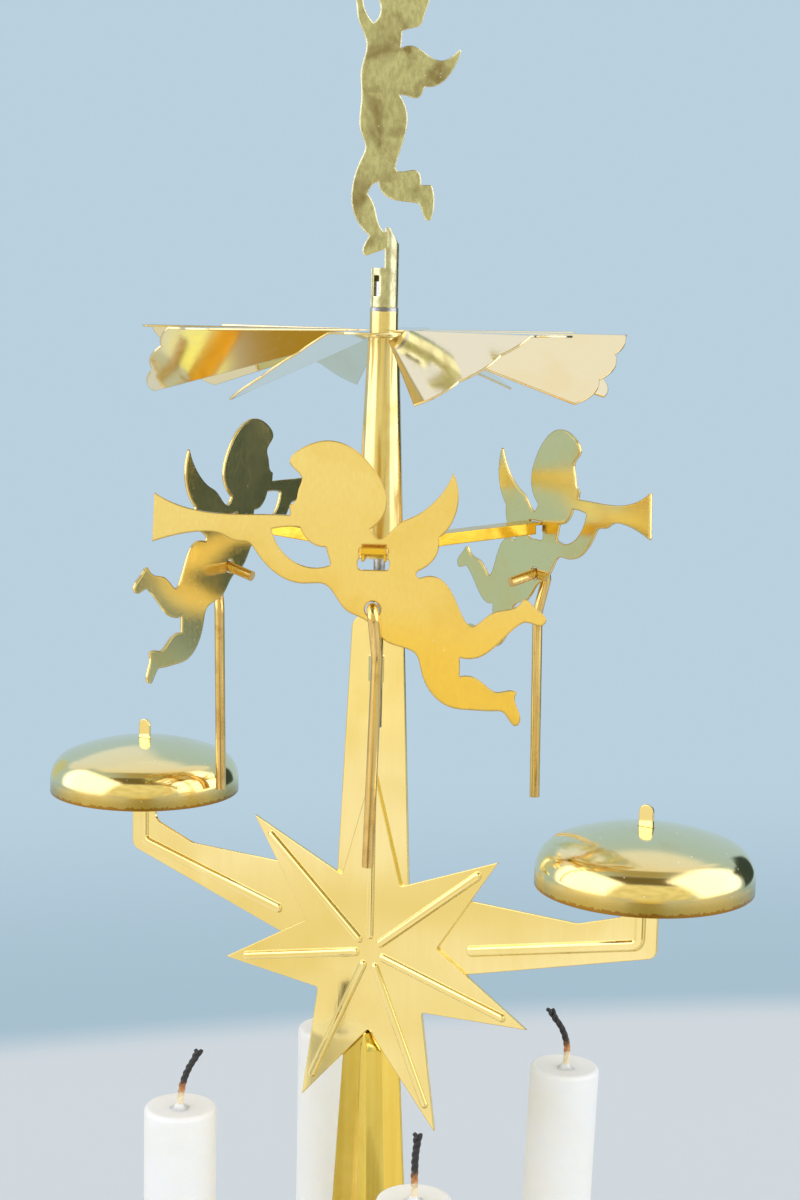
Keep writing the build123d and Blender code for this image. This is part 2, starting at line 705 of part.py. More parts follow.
def top_angel():
    outer = sleeve_diameter / 2
    inner = outer - tube_wall
    top = sleeve_foot + sleeve_height
    strip_top = top + neck_strip_rise
    ring = Circle(outer) - Circle(inner)
    sleeve = Pos(0, 0, sleeve_foot) * extrude(ring, sleeve_height)
    strip = ring & Pos(outer, -outer) * Rectangle(2 * outer, 2 * outer)
    strip = Pos(0, 0, top) * extrude(strip, neck_strip_rise)
    slope = make_face(Polyline((outer, strip_top), (outer, strip_top - neck_strip_drop),
                               (outer * strip_top_share, strip_top), close=True))
    strip -= extrude(Plane.XZ.offset(-2 * outer) * slope, 4 * outer)
    seam = Pos(-outer, 0, top) * Box(2 * outer, sleeve_seam, 2 * (sleeve_height + overrun))
    window = Pos(-outer, 0, top - sleeve_height * window_drop_share) * Box(
        2 * outer, sleeve_window_width, sleeve_window_height)
    sleeve = sleeve - Rot(0, 0, sleeve_seam_angle) * seam - Rot(0, 0, sleeve_window_angle) * window
    face = share_face(figure_outline_shares, angel_length) - share_face(arm_gap_shares, angel_length)
    figure = sheet_solid(Pos(0, top) * face, -inner, tube_wall)
    return angel_turn(0) * (sleeve + strip + figure)


def save(name, solid):
    export_step(solid, f"parts/{name}.step")


def main():
    save("base_plate", base_plate())
    save("stem", stem())
    save("cross_plate", cross_plate())
    save("star", star())
    save("needle", needle())
    places = candle_places()
    save("cup_rivets", Compound([place * cup_rivet() for place in places]))
    for index, place in enumerate(places):
        save(f"candle_cup_{index + 1}", place * candle_cup())
        save(f"candle_{index + 1}", candle(index))
        save(f"wick_{index + 1}", wick(index))
    save("bell_right", bell(1))
    save("bell_left", bell(-1))
    save("rotor_tube", rotor_tube())
    save("bearing_cup", bearing_cup())
    save("fan_wheel", fan_wheel())
    save("angel_carrier", angel_carrier())
    save("top_angel", top_angel())
    for index in range(angel_count):
        save(f"angel_{index + 1}", angel(index))
        save(f"striker_{index + 1}", striker(index))


main()
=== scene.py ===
import math

import bpy
from mathutils import Matrix, Vector


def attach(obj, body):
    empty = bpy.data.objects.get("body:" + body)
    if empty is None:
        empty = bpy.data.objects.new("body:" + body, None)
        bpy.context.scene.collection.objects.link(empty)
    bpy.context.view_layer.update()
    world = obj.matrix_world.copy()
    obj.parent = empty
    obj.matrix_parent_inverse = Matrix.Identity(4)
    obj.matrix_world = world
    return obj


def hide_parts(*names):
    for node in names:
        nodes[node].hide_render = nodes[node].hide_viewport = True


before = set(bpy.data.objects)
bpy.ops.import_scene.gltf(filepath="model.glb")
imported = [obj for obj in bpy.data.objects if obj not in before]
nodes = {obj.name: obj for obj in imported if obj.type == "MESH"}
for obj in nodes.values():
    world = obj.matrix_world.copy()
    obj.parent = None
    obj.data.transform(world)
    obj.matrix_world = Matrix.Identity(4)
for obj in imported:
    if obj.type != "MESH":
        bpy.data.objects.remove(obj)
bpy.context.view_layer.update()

# Angel chime carousel: finishes, wicks, light and camera. Metres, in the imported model's frame.
print("frame loaded:", len(nodes), "nodes")


def addObject(name, data):
    made = bpy.data.objects.new(name, data)
    bpy.context.scene.collection.objects.link(made)
    return made


# Camera at the photograph's place, turned about the object
cameraPlace = {
    "azimuth": 33.56, "distance": 0.3515, "aside": 0.00477, "height": 0.2462,
    "downTilt": 8.31, "roll": 1.2, "aim": 0.17, "lens": 61.15, "sensor": 36.0, "clip": (0.01, 60.0),
}


def makeCamera(place):
    turn = Matrix.Rotation(math.radians(place["azimuth"]), 3, "Z")
    aim, tilt, roll = (math.radians(place[key]) for key in ("aim", "downTilt", "roll"))
    right = Vector((math.cos(aim), math.sin(aim), 0))
    level = Vector((-math.sin(aim), math.cos(aim), 0))
    ahead = level * math.cos(tilt) - Vector((0, 0, math.sin(tilt)))
    above = level * math.sin(tilt) + Vector((0, 0, math.cos(tilt)))
    rolledRight = right * math.cos(roll) + above * math.sin(roll)
    rolledUp = above * math.cos(roll) - right * math.sin(roll)
    data = bpy.data.cameras.new("photoCamera")
    data.lens = place["lens"]
    data.sensor_width = place["sensor"]
    data.clip_start, data.clip_end = place["clip"]
    camera = addObject("photoCamera", data)
    axes = Matrix((turn @ rolledRight, turn @ rolledUp, turn @ -ahead)).transposed()
    spot = turn @ Vector((place["aside"], -place["distance"], place["height"]))
    camera.matrix_world = Matrix.Translation(spot) @ axes.to_4x4()
    bpy.context.scene.camera = camera


makeCamera(cameraPlace)
bpy.context.scene.view_settings.view_transform = "Standard"


# Small helpers for node trees
def fill(tree, node, inputs):
    # Each input, by name or number, takes a link, a plain value or a colour
    for label, value in inputs:
        socket = node.inputs[label]
        if isinstance(value, bpy.types.NodeSocket):
            tree.links.new(value, socket)
        else:
            socket.default_value = (*value, 1) if socket.type == "RGBA" else value


def addNode(tree, kind, inputs=(), **settings):
    node = tree.nodes.new(kind)
    for key, value in settings.items():
        setattr(node, key, value)
    fill(tree, node, inputs)
    return node


def newGroup(name, inputs, outputs):
    tree = bpy.data.node_groups.new(name, "ShaderNodeTree")
    for label, kind, value in inputs:
        tree.interface.new_socket(label, in_out="INPUT", socket_type=kind).default_value = value
    for label, kind in outputs:
        tree.interface.new_socket(label, in_out="OUTPUT", socket_type=kind)
    return tree, addNode(tree, "NodeGroupInput").outputs


def calculate(tree, operation, first, second=0.0, clamp=False):
    node = addNode(tree, "ShaderNodeMath", ((0, first), (1, second)),
                   operation=operation, use_clamp=clamp)
    return node.outputs[0]


def multiply(tree, first, second):
    return calculate(tree, "MULTIPLY", first, second)


def spread(tree, value, low, high):
    # From the range 0 to 1 onto low to high
    node = addNode(tree, "ShaderNodeMapRange", (
        ("Value", value), ("To Min", low), ("To Max", high)))
    return node.outputs["Result"]


def smoothBand(tree, value, start, end):
    # 0 at the start and 1 at the end, which may lie below the start
    node = addNode(tree, "ShaderNodeMapRange", (
        ("Value", value), ("From Min", start), ("From Max", end)), interpolation_type="SMOOTHSTEP")
    return node.outputs["Result"]


# The Mix node's colour sockets have numbers, because their names repeat
mixColor = {"first": 6, "second": 7, "result": 2}


def blendColor(tree, mask, first, second):
    inputs = (("Factor", mask), (mixColor["first"], first), (mixColor["second"], second))
    node = addNode(tree, "ShaderNodeMix", inputs, data_type="RGBA")
    return node.outputs[mixColor["result"]]


def mixShaders(tree, mask, first, second):
    return addNode(tree, "ShaderNodeMixShader", (("Fac", mask), (1, first), (2, second))).outputs[0]


def objectPlace(tree):
    return addNode(tree, "ShaderNodeTexCoord").outputs["Object"]


# Groups that the finishes share
grainShape = {"sizes": {"Lines": 1.0, "Fine": 3.7}, "roughness": 0.6, "contrast": (0.3, 0.7)}


def makeGrainGroup():
    # Rolling lines: noise drawn out along one way by its stretch
    tree, entry = newGroup(
        "rollingGrain",
        [("Stretch", "NodeSocketVector", (900.0, 900.0, 60.0)), ("Detail", "NodeSocketFloat", 4.0)],
        [("Lines", "NodeSocketFloat"), ("Fine", "NodeSocketFloat")])
    place = addNode(tree, "ShaderNodeVectorMath", (
        (0, objectPlace(tree)), (1, entry["Stretch"])), operation="MULTIPLY")
    made = []
    for label, size in grainShape["sizes"].items():
        noise = addNode(tree, "ShaderNodeTexNoise", (
            ("Vector", place.outputs[0]), ("Scale", size), ("Detail", entry["Detail"]),
            ("Roughness", grainShape["roughness"])))
        made.append((label, smoothBand(tree, noise.outputs["Fac"], *grainShape["contrast"])))
    addNode(tree, "NodeGroupOutput", made)
    return tree


def makeCloudGroup():
    # Soft patches, such as finger marks, tarnish and lacquer clouds, and the uneven painted shade
    # in the mirrored room's glows and cards
    tree, entry = newGroup(
        "softPatches",
        [("Scale", "NodeSocketFloat", 60.0), ("From", "NodeSocketFloat", 0.45),
         ("To", "NodeSocketFloat", 0.65), ("Warp", "NodeSocketFloat", 0.8)],
        [("Mask", "NodeSocketFloat")])
    noise = addNode(tree, "ShaderNodeTexNoise", (
        ("Vector", objectPlace(tree)), ("Scale", entry["Scale"]), ("Detail", 5.0),
        ("Distortion", entry["Warp"])))
    mask = smoothBand(tree, noise.outputs["Fac"], entry["From"], entry["To"])
    addNode(tree, "NodeGroupOutput", (("Mask", mask),))
    return tree


def makeEdgeGroup():
    # Where the surface turns within a small radius: cut edges, lips and rib sides
    tree, entry = newGroup(
        "cutEdges", [("Radius", "NodeSocketFloat", 0.0002), ("Gain", "NodeSocketFloat", 4.0)],
        [("Mask", "NodeSocketFloat"), ("Normal", "NodeSocketVector")])
    bevel = addNode(tree, "ShaderNodeBevel", (("Radius", entry["Radius"]),), samples=6)
    surface = addNode(tree, "ShaderNodeNewGeometry")
    turn = addNode(tree, "ShaderNodeVectorMath", (
        (0, bevel.outputs["Normal"]), (1, surface.outputs["Normal"])), operation="DOT_PRODUCT")
    bent = calculate(tree, "SUBTRACT", 1.0, turn.outputs["Value"])
    mask = calculate(tree, "MULTIPLY", bent, entry["Gain"], clamp=True)
    addNode(tree, "NodeGroupOutput", (("Mask", mask), ("Normal", bevel.outputs["Normal"])))
    return tree


def makeWaveGroup():
    # Thin sheet is never quite flat: slow waves that bend what it mirrors
    tree, entry = newGroup(
        "sheetWaves", [("Scale", "NodeSocketFloat", 40.0)], [("Height", "NodeSocketFloat")])
    noise = addNode(tree, "ShaderNodeTexNoise", (
        ("Vector", objectPlace(tree)), ("Scale", entry["Scale"]), ("Detail", 0.0)))
    addNode(tree, "NodeGroupOutput", (("Height", noise.outputs["Fac"]),))
    return tree


def makeSpeckGroup():
    # Dust and tiny pits: small round dots, with most of the cells left empty
    tree, entry = newGroup(
        "dustSpecks",
        [("Scale", "NodeSocketFloat", 900.0), ("Size", "NodeSocketFloat", 0.12),
         ("Share", "NodeSocketFloat", 0.3)],
        [("Mask", "NodeSocketFloat")])
    cells = addNode(tree, "ShaderNodeTexVoronoi", (
        ("Vector", objectPlace(tree)), ("Scale", entry["Scale"])))
    near = calculate(tree, "LESS_THAN", cells.outputs["Distance"], entry["Size"])
    split = addNode(tree, "ShaderNodeSeparateColor", ((0, cells.outputs["Color"]),))
    chosen = calculate(tree, "LESS_THAN", split.outputs[0], entry["Share"])
    addNode(tree, "NodeGroupOutput", (("Mask", multiply(tree, near, chosen)),))
    return tree


sharedGroups = {
    "grain": makeGrainGroup(), "cloud": makeCloudGroup(), "edge": makeEdgeGroup(),
    "wave": makeWaveGroup(), "speck": makeSpeckGroup(),
}


def useGroup(tree, key, **values):
    return addNode(tree, "ShaderNodeGroup", values.items(), node_tree=sharedGroups[key])


def emptyTree(owner):
    owner.use_nodes = True
    owner.node_tree.nodes.clear()
    return owner.node_tree


def newMaterial(name):
    material = bpy.data.materials.new(name)
    tree = emptyTree(material)
    shader = addNode(tree, "ShaderNodeBsdfPrincipled")
    addNode(tree, "ShaderNodeOutputMaterial", (("Surface", shader.outputs[0]),))
    return material, tree, shader


# Brass in its several finishes
bellRim = min(vertex.co.z for vertex in nodes["bell_right"].data.vertices)
brassFinishes = {
    "standBrass": {
        "color": (0.92, 0.765, 0.34), "side": (0.92, 0.79, 0.40),
        "patch": (0.80, 0.60, 0.15), "patchAmount": 0.45,
        "clouds": {"Scale": 48.0, "From": 0.45, "To": 0.74},
        "edge": (0.62, 0.42, 0.08), "edgeAmount": 0.6, "edgeRadius": 0.00025,
        "rough": (0.06, 0.12), "stretch": (700.0, 700.0, 50.0), "grain": 0.10, "relief": 0.01,
        "specks": 0.1, "coat": 0.3, "waves": (42.0, 0.0004)},
    # The stem's deeper amber and strong vertical bands are partly grain and partly painted
    # reflection of the table and candle near the stem
    "stemBrass": {
        "color": (0.87, 0.66, 0.15), "side": (0.88, 0.72, 0.24),
        "patch": (0.74, 0.50, 0.06), "patchAmount": 0.6,
        "clouds": {"Scale": 70.0, "From": 0.45, "To": 0.7},
        "edge": (0.58, 0.38, 0.05), "edgeAmount": 0.6, "edgeRadius": 0.00025,
        "rough": (0.08, 0.16), "stretch": (420.0, 420.0, 12.0), "grain": 0.6, "relief": 0.01,
        "specks": 0.1, "coat": 0.1, "waves": (30.0, 0.0003)},
    "baseBrass": {
        "color": (0.90, 0.74, 0.38), "side": (0.86, 0.78, 0.50),
        "patch": (0.78, 0.55, 0.18), "patchAmount": 0.4,
        "clouds": {"Scale": 45.0, "From": 0.5, "To": 0.75},
        "edge": (0.60, 0.38, 0.10), "edgeAmount": 0.5, "edgeRadius": 0.0003,
        "rough": (0.18, 0.28), "stretch": (60.0, 900.0, 900.0), "grain": 0.10, "relief": 0.03,
        "specks": 0.2, "coat": 0.2},
    "bellBrass": {
        "color": (0.88, 0.69, 0.29), "side": (0.82, 0.78, 0.46),
        "patch": (0.70, 0.46, 0.10), "patchAmount": 0.35,
        "clouds": {"Scale": 80.0, "From": 0.52, "To": 0.75},
        "edgeRadius": 0.0002,
        "rough": (0.11, 0.17), "stretch": (420.0, 420.0, 420.0), "grain": 0.04, "relief": 0.01,
        "specks": 0.9, "coat": 0.3,
        "rim": {"height": bellRim, "band": 0.0038, "bandFull": 0.2,
                "bandColor": (0.42, 0.30, 0.05), "bandShare": 0.85, "rough": 0.16,
                "stain": 0.00045, "stainFull": 0.6, "color": (0.34, 0.17, 0.02),
                "drips": {"Scale": 1100.0, "From": 0.35, "To": 0.7}}},
    "tubeBrass": {
        "color": (0.84, 0.68, 0.31), "side": (0.78, 0.67, 0.38),
        "patch": (0.60, 0.40, 0.10), "patchAmount": 0.55,
        "clouds": {"Scale": 90.0, "From": 0.48, "To": 0.72},
        "edge": (0.60, 0.36, 0.06), "edgeAmount": 0.4, "edgeRadius": 0.0002,
        "rough": (0.16, 0.26), "stretch": (1500.0, 1500.0, 30.0), "grain": 0.30, "relief": 0.03,
        "specks": 0.15, "coat": 0.15},
    "spiderBrass": {
        "color": (0.90, 0.58, 0.07), "side": (0.88, 0.58, 0.08),
        "patch": (0.60, 0.30, 0.02), "patchAmount": 0.6,
        "clouds": {"Scale": 120.0, "From": 0.45, "To": 0.7},
        "edge": (0.40, 0.20, 0.02), "edgeAmount": 0.7, "edgeRadius": 0.00025,
        "rough": (0.10, 0.20), "stretch": (300.0, 300.0, 900.0), "grain": 0.2, "relief": 0.02,
        "specks": 0.1, "coat": 0.05},
    "fanBrass": {
        "color": (0.93, 0.80, 0.48), "side": (0.92, 0.84, 0.60),
        "patch": (0.90, 0.66, 0.24), "patchAmount": 0.25,
        "clouds": {"Scale": 55.0, "From": 0.5, "To": 0.75},
        "edge": (0.66, 0.40, 0.06), "edgeAmount": 0.9, "edgeRadius": 0.0003,
        "rough": (0.07, 0.13), "stretch": (50.0, 900.0, 900.0), "grain": 0.06, "relief": 0.004,
        "specks": 0.3, "coat": 0.2, "waves": (35.0, 0.0003)},
    "angelBrass": {
        "color": (0.92, 0.73, 0.31), "side": (0.76, 0.79, 0.40),
        "patch": (0.86, 0.62, 0.17), "patchAmount": 0.45,
        "clouds": {"Scale": 75.0, "From": 0.45, "To": 0.7},
        "edge": (0.45, 0.24, 0.03), "edgeAmount": 0.9, "edgeRadius": 0.0004,
        "rough": (0.12, 0.20), "stretch": (2600.0, 2600.0, 900.0), "grain": 0.24, "relief": 0.006,
        "specks": 0.35, "coat": 0.3, "waves": (45.0, 0.0003)},
    "topBrass": {
        "color": (0.63, 0.62, 0.38), "side": (0.66, 0.64, 0.36),
        "patch": (0.22, 0.155, 0.05), "patchAmount": 0.85,
        "clouds": {"Scale": 165.0, "From": 0.42, "To": 0.72},
        # Pale edge colour: a painted highlight along the top angel's edges
        "edge": (0.97, 0.90, 0.62), "edgeAmount": 0.9, "edgeRadius": 0.0005,
        "rough": (0.20, 0.42), "stretch": (1600.0, 1600.0, 700.0), "grain": 0.40, "relief": 0.02,
        "specks": 0.4, "coat": 0.3, "waves": (60.0, 0.0005)},
    "wireBrass": {
        "color": (0.88, 0.63, 0.24), "side": (0.80, 0.54, 0.17),
        "patch": (0.34, 0.17, 0.04), "patchAmount": 0.45,
        "clouds": {"Scale": 200.0, "From": 0.5, "To": 0.72},
        "edgeRadius": 0.0001,
        "rough": (0.12, 0.26), "stretch": (2600.0, 2600.0, 40.0), "grain": 0.4, "relief": 0.04,
        "specks": 0.1, "coat": 0.15},
}
brassShared = {
    "glance": (0.25, 0.65), "edgeGain": 6.0, "dust": (0.95, 0.92, 0.82), "dustDull": 0.3,
    "speckCells": {"Scale": 1400.0, "Size": 0.16, "Share": 0.05}, "lineDull": 0.5,
    "reliefDepth": 0.0002, "coatRough": 0.08,
}


def rimStain(tree, rim, color, rough):
    # Lacquer dried in drips along a bell's rim, and a band above it that is rougher and darker
    # towards the rim
    parts = addNode(tree, "ShaderNodeSeparateXYZ", ((0, objectPlace(tree)),))
    drips = useGroup(tree, "cloud", **rim["drips"])
    height = calculate(tree, "SUBTRACT", parts.outputs["Z"], rim["height"])
    drip = multiply(tree, drips.outputs["Mask"], rim["stain"])
    ragged = calculate(tree, "SUBTRACT", height, drip)
    stain = smoothBand(tree, ragged, rim["stain"], rim["stain"] * rim["stainFull"])
    band = smoothBand(tree, height, rim["band"], rim["band"] * rim["bandFull"])
    color = blendColor(tree, multiply(tree, band, rim["bandShare"]), color, rim["bandColor"])
    color = blendColor(tree, stain, color, rim["color"])
    return color, calculate(tree, "ADD", rough, multiply(tree, band, rim["rough"]))


def makeBrass(name, finish):
    material, tree, shader = newMaterial(name)
    grain = useGroup(tree, "grain", Stretch=finish["stretch"])
    patches = useGroup(tree, "cloud", **finish["clouds"])
    edge = useGroup(tree, "edge", Radius=finish["edgeRadius"], Gain=brassShared["edgeGain"])
    specks = useGroup(tree, "speck", **brassShared["speckCells"])
    slant = addNode(tree, "ShaderNodeLayerWeight")
    glance = smoothBand(tree, slant.outputs["Facing"], *brassShared["glance"])
    color = blendColor(tree, glance, finish["color"], finish["side"])
    layers = [(patches.outputs["Mask"], finish["patchAmount"], finish["patch"]),
              (grain.outputs["Lines"], finish["grain"], finish["patch"])]
    # Painted shade: the edge colour darkens cut edges, lips, rib sides and the creases between
    # parts; the top angel's pale edge colour is a painted highlight
    if "edge" in finish:
        layers.append((edge.outputs["Mask"], finish["edgeAmount"], finish["edge"]))
    layers.append((specks.outputs["Mask"], finish["specks"], brassShared["dust"]))
    for mask, amount, over in layers:
        color = blendColor(tree, multiply(tree, mask, amount), color, over)
    uneven = multiply(tree, grain.outputs["Fine"], patches.outputs["Mask"])
    lines = multiply(tree, grain.outputs["Lines"], brassShared["lineDull"])
    rough = spread(tree, calculate(tree, "ADD", uneven, lines), *finish["rough"])
    dull = multiply(tree, specks.outputs["Mask"], brassShared["dustDull"] * finish["specks"])
    rough = calculate(tree, "ADD", rough, dull)
    if "rim" in finish:
        color, rough = rimStain(tree, finish["rim"], color, rough)
    relief = addNode(tree, "ShaderNodeBump", (
        ("Strength", finish["relief"]), ("Distance", brassShared["reliefDepth"]),
        ("Height", grain.outputs["Fine"]), ("Normal", edge.outputs["Normal"])))
    normal = relief.outputs["Normal"]
    if "waves" in finish:
        scale, depth = finish["waves"]
        waves = useGroup(tree, "wave", Scale=scale)
        slow = addNode(tree, "ShaderNodeBump", (
            ("Distance", depth), ("Height", waves.outputs["Height"]), ("Normal", normal)))
        normal = slow.outputs["Normal"]
    dust = multiply(tree, specks.outputs["Mask"], finish["specks"])
    fill(tree, shader, (
        ("Base Color", color), ("Roughness", rough), ("Normal", normal),
        ("Metallic", calculate(tree, "SUBTRACT", 1.0, dust)),
        ("Coat Weight", finish["coat"]), ("Coat Roughness", brassShared["coatRough"])))
    return material


steelFinish = {
    "color": (0.50, 0.51, 0.53), "dark": (0.22, 0.22, 0.24), "rough": (0.22, 0.4),
    "stretch": (2500.0, 2500.0, 90.0), "stains": {"Scale": 220.0, "From": 0.45, "To": 0.68},
}


def makeSteel(name, finish):
    material, tree, shader = newMaterial(name)
    grain = useGroup(tree, "grain", Stretch=finish["stretch"])
    stains = useGroup(tree, "cloud", **finish["stains"])
    color = blendColor(tree, stains.outputs["Mask"], finish["color"], finish["dark"])
    rough = spread(tree, grain.outputs["Lines"], *finish["rough"])
    fill(tree, shader, (("Base Color", color), ("Roughness", rough), ("Metallic", 1.0)))
    return material


waxFinish = {
    "color": (0.945, 0.935, 0.91), "warm": (0.90, 0.87, 0.80), "warmAmount": 0.45,
    "clouds": {"Scale": 70.0, "From": 0.4, "To": 0.75},
    "fine": {"Scale": 900.0, "From": 0.3, "To": 0.8}, "rough": (0.38, 0.56), "relief": 0.12,
    "reliefDepth": 0.0003, "glow": 0.6, "glowColors": (1.0, 0.85, 0.65), "glowDepth": 0.003,
}


def makeWax(name, finish):
    material, tree, shader = newMaterial(name)
    clouds = useGroup(tree, "cloud", **finish["clouds"])
    fine = useGroup(tree, "cloud", **finish["fine"]).outputs["Mask"]
    warmth = spread(tree, clouds.outputs["Mask"], 0.0, finish["warmAmount"])
    bump = addNode(tree, "ShaderNodeBump", (
        ("Strength", finish["relief"]), ("Distance", finish["reliefDepth"]), ("Height", fine)))
    fill(tree, shader, (
        ("Base Color", blendColor(tree, warmth, finish["color"], finish["warm"])),
        ("Roughness", spread(tree, fine, *finish["rough"])), ("Normal", bump.outputs["Normal"]),
        ("Subsurface Weight", finish["glow"]), ("Subsurface Radius", finish["glowColors"]),
        ("Subsurface Scale", finish["glowDepth"])))
    return material


wickFinish = {
    "wax": (0.90, 0.78, 0.54), "scorch": (0.52, 0.20, 0.04), "char": (0.014, 0.013, 0.015),
    "scorchAt": 0.30, "charAt": 0.43, "soft": 0.07, "rough": (0.45, 0.85),
    "ash": {"Scale": 1800.0, "From": 0.4, "To": 0.7}, "ashShift": 0.05, "ashAmount": 0.12,
    "ashColor": (0.22, 0.20, 0.19),
}


def makeChar(name, finish):
    # Waxy at the foot, scorched above it, then charred; "along" runs up each wick
    material, tree, shader = newMaterial(name)
    along = addNode(tree, "ShaderNodeAttribute", attribute_name="along")
    ash = useGroup(tree, "cloud", **finish["ash"]).outputs["Mask"]
    place = calculate(tree, "ADD", along.outputs["Fac"], multiply(tree, ash, finish["ashShift"]))
    color = finish["wax"]
    for stage in ("scorch", "char"):
        start = finish[stage + "At"]
        step = smoothBand(tree, place, start - finish["soft"], start + finish["soft"])
        color = blendColor(tree, step, color, finish[stage])
    color = blendColor(tree, multiply(tree, ash, finish["ashAmount"]), color, finish["ashColor"])
    fill(tree, shader, (("Base Color", color), ("Roughness", spread(tree, ash, *finish["rough"]))))
    return material


materials = {name: makeBrass(name, finish) for name, finish in brassFinishes.items()}
materials["needleSteel"] = makeSteel("needleSteel", steelFinish)
materials["candleWax"] = makeWax("candleWax", waxFinish)
materials["wickChar"] = makeChar("wickChar", wickFinish)
print("materials made:", len(materials))


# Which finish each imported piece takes
pieceFinish = {
    "standBrass": ["cross_plate", "star"],
    "stemBrass": ["stem"],
    "baseBrass": ["base_plate", "cup_rivets", "candle_cup_1", "candle_cup_2", "candle_cup_3",
                  "candle_cup_4"],
    "bellBrass": ["bell_right", "bell_left"],
    "tubeBrass": ["rotor_tube"],
    "spiderBrass": ["angel_carrier"],
    "fanBrass": ["fan_wheel"],
    "angelBrass": ["angel_1", "angel_2", "angel_3"],
    "topBrass": ["top_angel"],
    "wireBrass": ["striker_1", "striker_2", "striker_3"],
    "needleSteel": ["needle", "bearing_cup"],
    "candleWax": ["candle_1", "candle_2", "candle_3", "candle_4"],
    "wickChar": ["wick_1", "wick_2", "wick_3", "wick_4"],
}


def dress(piece, material):
    if not piece.material_slots:
        piece.data.materials.append(material)
    for slot in piece.material_slots:
        slot.material = material


for finishName, pieceNames in pieceFinish.items():
    for pieceName in pieceNames:
        dress(nodes[pieceName], materials[finishName])
print("finishes given to the packed pieces")


# Braided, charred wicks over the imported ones
wickShape = {
    "slices": 9, "steps": 56, "strands": 3, "turns": 3.2, "strandRadius": 0.00037, "strandSides": 8,
    "braidRadius": 0.00027, "knots": 0.8, "knotScale": 900.0, "fray": 1.1, "frayPower": 14.0,
}


def middleLine(piece):
    # The middle of the piece at even heights, drawn on by half a slice to both its ends
    slices = wickShape["slices"]
    heights = [vertex.co.z for vertex in piece.data.vertices]
    low, high = min(heights), max(heights)
    bands = [[] for step in range(slices)]
    for vertex in piece.data.vertices:
        share = (vertex.co.z - low) / (high - low)
        bands[min(int(share * slices), slices - 1)].append(vertex.co)
    line = [sum(band, Vector()) / len(band) for band in bands if band]
    ends = [line[0] + (line[0] - line[1]) / 2, line[-1] + (line[-1] - line[-2]) / 2]
    return [ends[0], *line[1:-1], ends[1]]


def makeBraidTree(shape):
    tree = bpy.data.node_groups.new("braidedWick", "GeometryNodeTree")
    labels = (("Geometry", "Geometry", None), ("Strands", "Int", shape["strands"]),
              ("Turns", "Float", shape["turns"]), ("Strand Radius", "Float", shape["strandRadius"]),
              ("Braid Radius", "Float", shape["braidRadius"]), ("Knots", "Float", shape["knots"]),
              ("Fray", "Float", shape["fray"]), ("Seed", "Float", 0.0),
              ("Material", "Material", None))
    for label, kind, value in labels:
        socket = tree.interface.new_socket(label, in_out="INPUT", socket_type=f"NodeSocket{kind}")
        if value is not None:
            socket.default_value = value
    tree.interface.new_socket("Geometry", in_out="OUTPUT", socket_type="NodeSocketGeometry")
    entry = addNode(tree, "NodeGroupInput").outputs
    even = addNode(tree, "GeometryNodeResampleCurve", (
        ("Curve", entry["Geometry"]), ("Count", shape["steps"])))
    copies = addNode(tree, "GeometryNodeDuplicateElements", (
        ("Geometry", even.outputs[0]), ("Amount", entry["Strands"])), domain="SPLINE")
    along = addNode(tree, "GeometryNodeSplineParameter").outputs["Factor"]
    kept = addNode(tree, "GeometryNodeStoreNamedAttribute", (
        ("Geometry", copies.outputs["Geometry"]), ("Name", "along"), ("Value", along)),
        data_type="FLOAT", domain="POINT")
    share = calculate(tree, "DIVIDE", copies.outputs["Duplicate Index"], entry["Strands"])
    turned = multiply(tree, along, entry["Turns"])
    angle = multiply(tree, calculate(tree, "ADD", turned, share), 2 * math.pi)
    # The strands lie apart only near the tip, where the power of the way along is no longer small
    loose = calculate(tree, "POWER", along, shape["frayPower"])
    apart = calculate(tree, "ADD", multiply(tree, loose, entry["Fray"]), 1.0)
    reach = multiply(tree, entry["Braid Radius"], apart)
    offset = addNode(tree, "ShaderNodeCombineXYZ", (
        ("X", multiply(tree, calculate(tree, "COSINE", angle), reach)),
        ("Y", multiply(tree, calculate(tree, "SINE", angle), reach))))
    placed = addNode(tree, "GeometryNodeSetPosition", (
        ("Geometry", kept.outputs[0]), ("Offset", offset.outputs[0])))
    # Noise lies round one half, so half is taken off before it swells and thins the strands
    lumps = addNode(tree, "ShaderNodeTexNoise", (
        ("Scale", shape["knotScale"]), ("Detail", 2.0), ("W", entry["Seed"])),
        noise_dimensions="4D")
    centred = calculate(tree, "SUBTRACT", lumps.outputs["Fac"], 0.5)
    swell = multiply(tree, centred, entry["Knots"])
    radius = calculate(tree, "ADD", multiply(tree, swell, along), 1.0)
    sized = addNode(tree, "GeometryNodeSetCurveRadius", (
        ("Curve", placed.outputs[0]), ("Radius", radius)))
    ring = addNode(tree, "GeometryNodeCurvePrimitiveCircle", (
        ("Resolution", shape["strandSides"]), ("Radius", entry["Strand Radius"])))
    skin = addNode(tree, "GeometryNodeCurveToMesh", (
        ("Curve", sized.outputs[0]), ("Profile Curve", ring.outputs[0]), ("Fill Caps", True)))
    real = addNode(tree, "GeometryNodeRealizeInstances", (("Geometry", skin.outputs[0]),))
    coloured = addNode(tree, "GeometryNodeSetMaterial", (
        ("Geometry", real.outputs[0]), ("Material", entry["Material"])))
    addNode(tree, "NodeGroupOutput", (("Geometry", coloured.outputs[0]),))
    return tree


def socketKey(tree, label):
    return next(item.identifier for item in tree.interface.items_tree
                if item.name == label and item.in_out == "INPUT")


